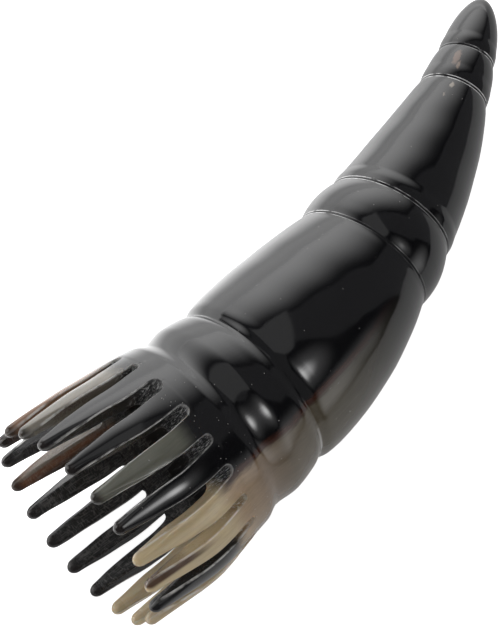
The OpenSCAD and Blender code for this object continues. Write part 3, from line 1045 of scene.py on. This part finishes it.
# the photograph's point of view, worked out from the comb's outline, in metres
CAMERA_PLACE = (-0.20384, 0.01082, 0.71417)
CAMERA_VIEW = (0.2612, -0.0103, -0.9652)
CAMERA_UP = (0.7674, 0.6088, 0.2012)


def build_table():
    line = np.linspace(-TABLE_HALF, TABLE_HALF, TABLE_CELLS + 1)
    points = [(x, y, 0.0) for x in line for y in line]
    mesh = bpy.data.meshes.new("table")
    mesh.from_pydata(points, [], grid(0, TABLE_CELLS + 1, TABLE_CELLS + 1)[:, ::-1].tolist())
    table = bpy.data.objects.new("table", mesh)
    table.data.materials.append(floor_material())
    bpy.context.scene.collection.objects.link(table)


def light_card(name, azimuth, elevation, width, height, radiance, edge, oval=False, core=0.0):
    """A glowing card round the comb, fading towards its edges. Azimuth runs from +X towards +Y.

    width and height are half angles in degrees; edge is the share of them that fades.
    core is the radiance of the small bright heart that an oval card can have.
    """
    a, e = math.radians(azimuth), math.radians(elevation)
    away = Vector((math.cos(a) * math.cos(e), math.sin(a) * math.cos(e), math.sin(e)))
    across = CARD_DISTANCE * math.tan(math.radians(width))
    up = CARD_DISTANCE * math.tan(math.radians(height))
    corners = [(-across, -up, 0), (across, -up, 0), (across, up, 0), (-across, up, 0)]
    mesh = bpy.data.meshes.new(name)
    mesh.from_pydata(corners, [], [(0, 1, 2, 3)])
    card = bpy.data.objects.new(name, mesh)
    card.location = Vector((0.0, 0.0, 0.03)) + away * CARD_DISTANCE
    card.rotation_euler = away.to_track_quat("Z", "Y").to_euler()
    card.visible_camera = False
    card.visible_shadow = False
    card.data.materials.append(glow(name, across, up, radiance, edge, oval, core))
    bpy.context.scene.collection.objects.link(card)


def glow(name, across, up, radiance, edge, oval, core):
    """The glow of a card, strongest in its middle."""
    material, n = new_material(name + "_glow")
    n.tree.nodes.clear()
    at = n.add("ShaderNodeTexCoord").outputs["Object"]
    x, y, _ = n.add("ShaderNodeSeparateXYZ", {0: at}).outputs
    x, y = n.math("DIVIDE", x, across), n.math("DIVIDE", y, up)
    if oval:
        out = n.math("SQRT", n.math("MULTIPLY_ADD", x, x, n.both(y, y)))
        heart = n.math("MULTIPLY", n.step(out, CORE_SHARE, 0.0), core)
        strength = n.math("MULTIPLY_ADD", n.step(out, 1.0, 1.0 - edge), radiance, heart)
    else:
        fade = n.both(*[n.step(n.math("ABSOLUTE", q), 1.0, 1.0 - edge) for q in (x, y)])
        strength = n.math("MULTIPLY", fade, radiance)
    light = n.add("ShaderNodeEmission", {"Color": (1.0, 1.0, 1.0, 1.0), "Strength": strength})
    output = n.add("ShaderNodeOutputMaterial")
    n.put(output.inputs["Surface"], light.outputs[0])
    return material


def build_world():
    """Dim grey in reflections, which keeps the horn black, and brighter for all else."""
    world = bpy.data.worlds.new("studio")
    bpy.context.scene.world = world
    world.use_nodes = True
    n = Nodes(world.node_tree)
    rays = n.add("ShaderNodeLightPath").outputs
    colour = n.tint(rays["Is Diffuse Ray"], (0.16, 0.16, 0.165), (0.6, 0.6, 0.6))
    colour = n.tint(rays["Is Camera Ray"], colour, (0.95, 0.95, 0.95))
    n.put(world.node_tree.nodes["Background"].inputs["Color"], colour)


def build_lights():
    """Azimuth, elevation, half width, half height, radiance and fading share of each card."""
    light_card("key_card", 47, 6, 55, 40, 3.0, 1.0)
    light_card("side_card", 118, 12, 24, 30, 2.2, 0.7)
    light_card("fill_card", -80, 15, 34, 22, 1.5, 1.0, oval=True)
    light_card("small_lamp", -71, 57, 23, 26, 1.1, 1.0, oval=True, core=8.0)
    light_card("ceiling_card", 65, 66, 22, 20, 0.5, 0.03)


def build_camera():
    """A long lens above the comb, with the handle running to the picture's upper right."""
    camera = bpy.data.objects.new("camera", bpy.data.cameras.new("camera"))
    camera.data.sensor_width, camera.data.lens = 36.0, 168.0
    camera.data.clip_start, camera.data.clip_end = 0.05, 20.0
    view = Vector(CAMERA_VIEW).normalized()
    right = view.cross(Vector(CAMERA_UP)).normalized()
    turn = Matrix((right, right.cross(view), -view)).transposed()
    camera.matrix_world = Matrix.Translation(Vector(CAMERA_PLACE)) @ turn.to_4x4()
    bpy.context.scene.collection.objects.link(camera)
    bpy.context.scene.camera = camera


build_camera()
build_comb()
build_table()
build_lights()
build_world()
bpy.context.scene.view_settings.view_transform = "Standard"
